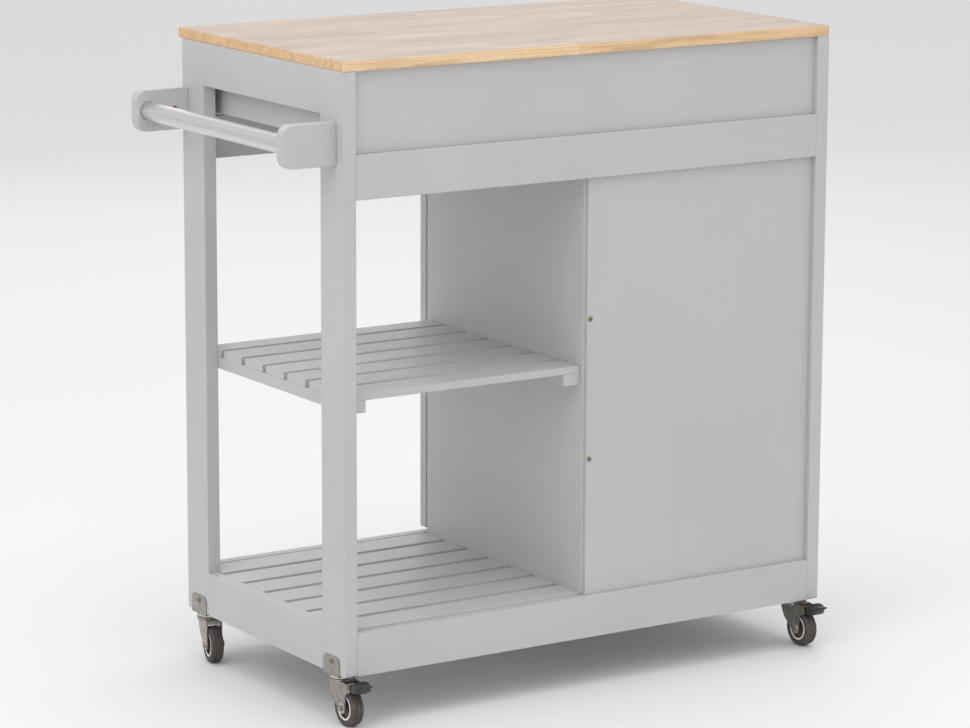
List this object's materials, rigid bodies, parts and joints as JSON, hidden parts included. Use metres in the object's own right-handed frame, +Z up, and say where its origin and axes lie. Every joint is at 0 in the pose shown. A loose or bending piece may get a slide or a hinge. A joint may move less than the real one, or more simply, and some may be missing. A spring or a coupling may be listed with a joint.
{
  "type": "kitchen island cart",
  "caption": "Rolling kitchen island cart with a wooden worktop, drawers, a door cabinet, slatted open shelves and a towel rail on one end.",
  "frame": {"origin": "middle of the whole cart's box at floor level, under the casters", "axes": "+Z up from the floor; the drawers and door face -Y; the towel rail is on the +X end"},
  "size_m": [0.8481, 0.483, 0.87],
  "materials": {
    "worktop_wood": "clear-lacquered edge-glued rubberwood staves",
    "painted_wood": "light grey satin paint on wood and board",
    "plain_wood": "sanded pale hardwood",
    "drawer_bottom": "thin grey-faced hardboard",
    "brushed_tube": "brushed stainless tube",
    "plated_steel": "zinc-nickel plated pressed steel",
    "yellow_zinc": "yellow-zinc plated steel",
    "knob_steel": "satin nickel turned knob",
    "white_plastic": "matte moulded plastic",
    "hub_plastic": "dark brown moulded nylon with a white ring",
    "pedal_plastic": "dark textured moulded plastic",
    "tyre_rubber": "dark grey-brown rubber tread"
  },
  "bodies": {
    "cart": {"worktop": "worktop_wood", "leg_rear_handle": "painted_wood", "leg_rear_cabinet": "painted_wood", "leg_front_handle": "painted_wood", "leg_front_cabinet": "painted_wood", "end_top_rail_handle": "painted_wood", "end_bottom_rail_handle": "painted_wood", "end_bottom_rail_cabinet": "painted_wood", "rear_middle_rail": "painted_wood", "rear_bottom_rail": "painted_wood", "front_middle_rail": "painted_wood", "front_bottom_rail": "painted_wood", "front_top_rail": "painted_wood", "rear_upper_panel": "painted_wood", "cabinet_back_panel": "painted_wood", "cabinet_end_panel": "painted_wood", "divider": "painted_wood", "cabinet_floor": "painted_wood", "cabinet_shelf": "painted_wood", "middle_shelf_slats": "painted_wood", "bottom_shelf_slats": "painted_wood", "shelf_cleats": "painted_wood", "shelf_pins": "plated_steel", "drawer_runners": "plain_wood", "door_hinge_fixed_leaves": "plated_steel", "magnetic_catch": "white_plastic", "towel_rail": "brushed_tube", "towel_bracket_rear": "painted_wood", "towel_bracket_front": "painted_wood", "towel_bracket_fasteners": "yellow_zinc", "caster_plates": "plated_steel", "screws": "plated_steel"},
    "drawer_handle_side": {"drawer_handle_side_front": "painted_wood", "drawer_handle_side_sides": "painted_wood", "drawer_handle_side_back": "painted_wood", "drawer_handle_side_bottom": "drawer_bottom", "drawer_handle_side_knob": "knob_steel"},
    "drawer_cabinet_side": {"drawer_cabinet_side_front": "painted_wood", "drawer_cabinet_side_sides": "painted_wood", "drawer_cabinet_side_back": "painted_wood", "drawer_cabinet_side_bottom": "drawer_bottom", "drawer_cabinet_side_knob": "knob_steel"},
    "door": {"door": "painted_wood", "door_knob": "knob_steel", "door_hinge_moving_leaves": "plated_steel", "catch_strike_plate": "plated_steel"},
    "caster_rear_handle_fork": {"caster_rear_handle_fork": "plated_steel"},
    "caster_rear_handle_wheel": {"caster_rear_handle_hub": "hub_plastic", "caster_rear_handle_tyre": "tyre_rubber"},
    "caster_rear_handle_pedal": {"caster_rear_handle_pedal": "pedal_plastic"},
    "caster_rear_cabinet_fork": {"caster_rear_cabinet_fork": "plated_steel"},
    "caster_rear_cabinet_wheel": {"caster_rear_cabinet_hub": "hub_plastic", "caster_rear_cabinet_tyre": "tyre_rubber"},
    "caster_rear_cabinet_pedal": {"caster_rear_cabinet_pedal": "pedal_plastic"},
    "caster_front_handle_fork": {"caster_front_handle_fork": "plated_steel"},
    "caster_front_handle_wheel": {"caster_front_handle_hub": "hub_plastic", "caster_front_handle_tyre": "tyre_rubber"},
    "caster_front_cabinet_fork": {"caster_front_cabinet_fork": "plated_steel"},
    "caster_front_cabinet_wheel": {"caster_front_cabinet_hub": "hub_plastic", "caster_front_cabinet_tyre": "tyre_rubber"}
  },
  "joints": [
    {"name": "drawer_handle_side_slide", "type": "slide", "parent": "cart", "child": "drawer_handle_side", "axis": [0, -1, 0], "range_m": [0, 0.28]},
    {"name": "drawer_cabinet_side_slide", "type": "slide", "parent": "cart", "child": "drawer_cabinet_side", "axis": [0, -1, 0], "range_m": [0, 0.28]},
    {"name": "door_hinge", "type": "hinge", "parent": "cart", "child": "door", "pos_m": [-0.39995, -0.2205, 0.412], "axis": [0, 0, -1], "range_deg": [0, 110]},
    {"name": "caster_rear_handle_swivel", "type": "hinge", "parent": "cart", "child": "caster_rear_handle_fork", "pos_m": [0.33055, 0.1735, 0.06], "axis": [0, 0, 1], "continuous": true},
    {"name": "caster_rear_handle_spin", "type": "hinge", "parent": "caster_rear_handle_fork", "child": "caster_rear_handle_wheel", "pos_m": [0.33055, 0.1915, 0.025], "axis": [-1, 0, 0], "continuous": true},
    {"name": "caster_rear_handle_brake", "type": "hinge", "parent": "caster_rear_handle_fork", "child": "caster_rear_handle_pedal", "pos_m": [0.33055, 0.2055, 0.0535], "axis": [-1, 0, 0], "range_deg": [0, 10]},
    {"name": "caster_rear_cabinet_swivel", "type": "hinge", "parent": "cart", "child": "caster_rear_cabinet_fork", "pos_m": [-0.40545, 0.1735, 0.06], "axis": [0, 0, 1], "continuous": true},
    {"name": "caster_rear_cabinet_spin", "type": "hinge", "parent": "caster_rear_cabinet_fork", "child": "caster_rear_cabinet_wheel", "pos_m": [-0.40545, 0.1915, 0.025], "axis": [-1, 0, 0], "continuous": true},
    {"name": "caster_rear_cabinet_brake", "type": "hinge", "parent": "caster_rear_cabinet_fork", "child": "caster_rear_cabinet_pedal", "pos_m": [-0.40545, 0.2055, 0.0535], "axis": [-1, 0, 0], "range_deg": [0, 10]},
    {"name": "caster_front_handle_swivel", "type": "hinge", "parent": "cart", "child": "caster_front_handle_fork", "pos_m": [0.33055, -0.1845, 0.06], "axis": [0, 0, 1], "continuous": true},
    {"name": "caster_front_handle_spin", "type": "hinge", "parent": "caster_front_handle_fork", "child": "caster_front_handle_wheel", "pos_m": [0.3346, -0.16696, 0.025], "axis": [-0.9744, 0.225, 0], "continuous": true},
    {"name": "caster_front_cabinet_swivel", "type": "hinge", "parent": "cart", "child": "caster_front_cabinet_fork", "pos_m": [-0.40545, -0.1845, 0.06], "axis": [0, 0, 1], "continuous": true},
    {"name": "caster_front_cabinet_spin", "type": "hinge", "parent": "caster_front_cabinet_fork", "child": "caster_front_cabinet_wheel", "pos_m": [-0.40919, -0.16689, 0.025], "axis": [-0.9781, -0.2079, 0], "continuous": true}
  ]
}
